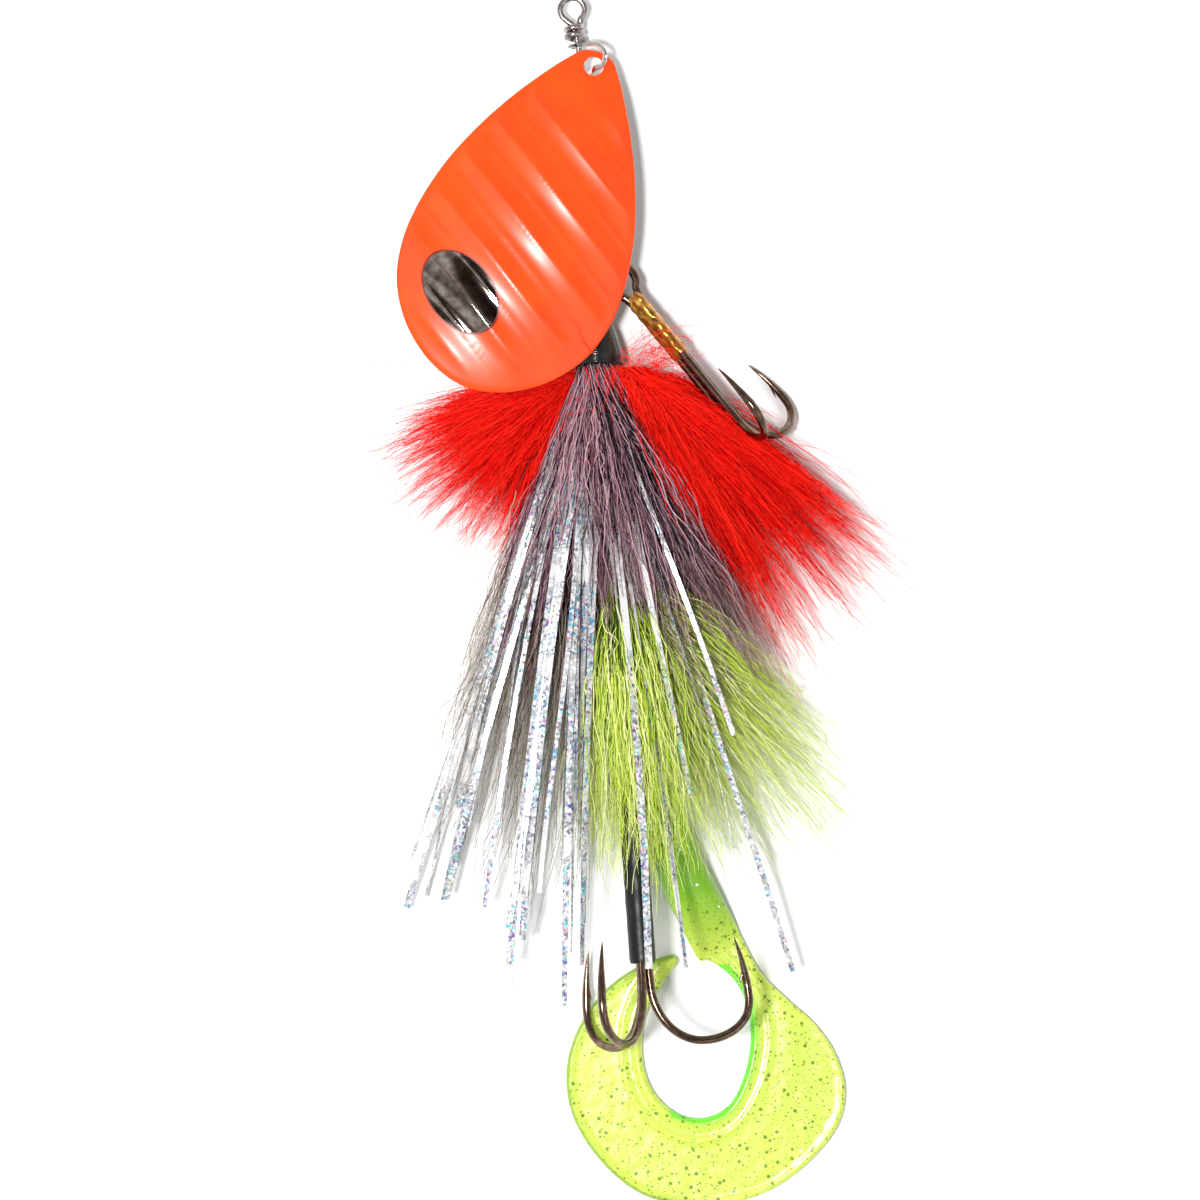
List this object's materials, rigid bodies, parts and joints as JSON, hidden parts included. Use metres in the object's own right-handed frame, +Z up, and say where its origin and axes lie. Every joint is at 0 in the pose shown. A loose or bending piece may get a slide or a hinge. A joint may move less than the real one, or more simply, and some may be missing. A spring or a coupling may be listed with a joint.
{
  "type": "inline spinner",
  "caption": "Inline fishing spinner: cupped teardrop blade on a clevis, weighted wire shaft, side treble, hair dressing, tail treble and soft curly-tail trailer.",
  "frame": {"origin": "middle of the lure's box, on the surface that it lies on", "axes": "+Z up from that surface, +Y along the shaft towards the line tie, +X to the side of the front treble"},
  "size_m": [0.093, 0.2456, 0.0402],
  "materials": {
    "stainless_wire": "drawn stainless spring wire, bright",
    "nickel_plate": "polished nickel plate",
    "brass": "polished",
    "bronze_hook": "dark bronzed hook steel, glossy",
    "orange_paint": "fluorescent orange, semi-gloss, over fluted nickel",
    "red_plastic": "gloss",
    "black_thread": "thread wrap under clear lacquer",
    "red_marabou": "dyed marabou feather, soft and matte",
    "mauve_hair": "dyed bucktail hair, faint sheen",
    "chartreuse_hair": "dyed bucktail hair, faint sheen",
    "silver_film": "metallised holographic film ribbon",
    "black_rubber": "matte heat-shrink",
    "soft_plastic": "translucent soft plastic with flakes"
  },
  "bodies": {
    "shaft": {"shaft_wire": "stainless_wire"},
    "clevis": {"clevis": "nickel_plate"},
    "blade": {"blade": "orange_paint"},
    "bearing_bead": {"bearing_bead": "brass"},
    "weight_body": {"weight_body": "nickel_plate"},
    "red_bead": {"red_bead": "red_plastic"},
    "stop_bead": {"stop_bead": "brass"},
    "split_ring": {"split_ring": "stainless_wire"},
    "front_treble": {"front_treble_double": "bronze_hook", "front_treble_single": "bronze_hook"},
    "rear_section": {"rear_wire": "stainless_wire", "thread_head": "black_thread", "marabou_left": "red_marabou", "marabou_right": "red_marabou", "bucktail_mauve": "mauve_hair", "thread_band": "black_thread", "bucktail_chartreuse": "chartreuse_hair", "flash_skirt": "silver_film", "shrink_tube": "black_rubber", "rear_treble_double": "bronze_hook", "rear_treble_single": "bronze_hook"},
    "grub": {"grub_keeper": "stainless_wire", "grub_body": "soft_plastic"},
    "grub_tail": {"grub_tail": "soft_plastic"}
  },
  "joints": [
    {"name": "clevis_spin", "type": "hinge", "parent": "shaft", "child": "clevis", "pos_m": [-0.00473, 0.10887, 0.004], "axis": [0, 1, 0], "range_deg": [-180, 0]},
    {"name": "blade_swing", "type": "hinge", "parent": "clevis", "child": "blade", "pos_m": [-0.00138, 0.10769, 0.00713], "axis": [-0.8988, 0.4384, 0], "range_deg": [0, 65]},
    {"name": "bearing_bead_spin", "type": "hinge", "parent": "shaft", "child": "bearing_bead", "pos_m": [-0.00473, 0.10282, 0.004], "axis": [0, 1, 0], "continuous": true},
    {"name": "weight_body_spin", "type": "hinge", "parent": "shaft", "child": "weight_body", "pos_m": [-0.00473, 0.09096, 0.004], "axis": [0, 1, 0], "continuous": true},
    {"name": "red_bead_spin", "type": "hinge", "parent": "shaft", "child": "red_bead", "pos_m": [-0.00473, 0.07836, 0.004], "axis": [0, 1, 0], "continuous": true},
    {"name": "stop_bead_spin", "type": "hinge", "parent": "shaft", "child": "stop_bead", "pos_m": [-0.00473, 0.07441, 0.004], "axis": [0, 1, 0], "continuous": true},
    {"name": "ring_swing", "type": "hinge", "parent": "shaft", "child": "split_ring", "pos_m": [-0.00479, 0.06651, 0.0053], "axis": [0, 0, 1], "range_deg": [0, 20]},
    {"name": "front_hook_swing", "type": "hinge", "parent": "split_ring", "child": "front_treble", "pos_m": [0.00097, 0.06551, 0.0069], "axis": [0, 0, 1], "range_deg": [0, 50]},
    {"name": "rear_link_fold", "type": "hinge", "parent": "shaft", "child": "rear_section", "pos_m": [-0.00473, 0.06261, 0.004], "axis": [1, 0, 0], "range_deg": [0, 45]},
    {"name": "grub_swing", "type": "hinge", "parent": "rear_section", "child": "grub", "pos_m": [-0.00473, -0.03019, 0.01497], "axis": [1, 0, 0], "range_deg": [0, 35]},
    {"name": "grub_tail_bend", "type": "hinge", "parent": "grub", "child": "grub_tail", "pos_m": [0.01077, -0.07044, 0.0011], "axis": [0.9247, 0.3808, 0], "range_deg": [0, 40]}
  ],
  "couplings": [
    {"joint": "blade_swing", "follows": "clevis_spin", "ratio": -0.35}
  ]
}
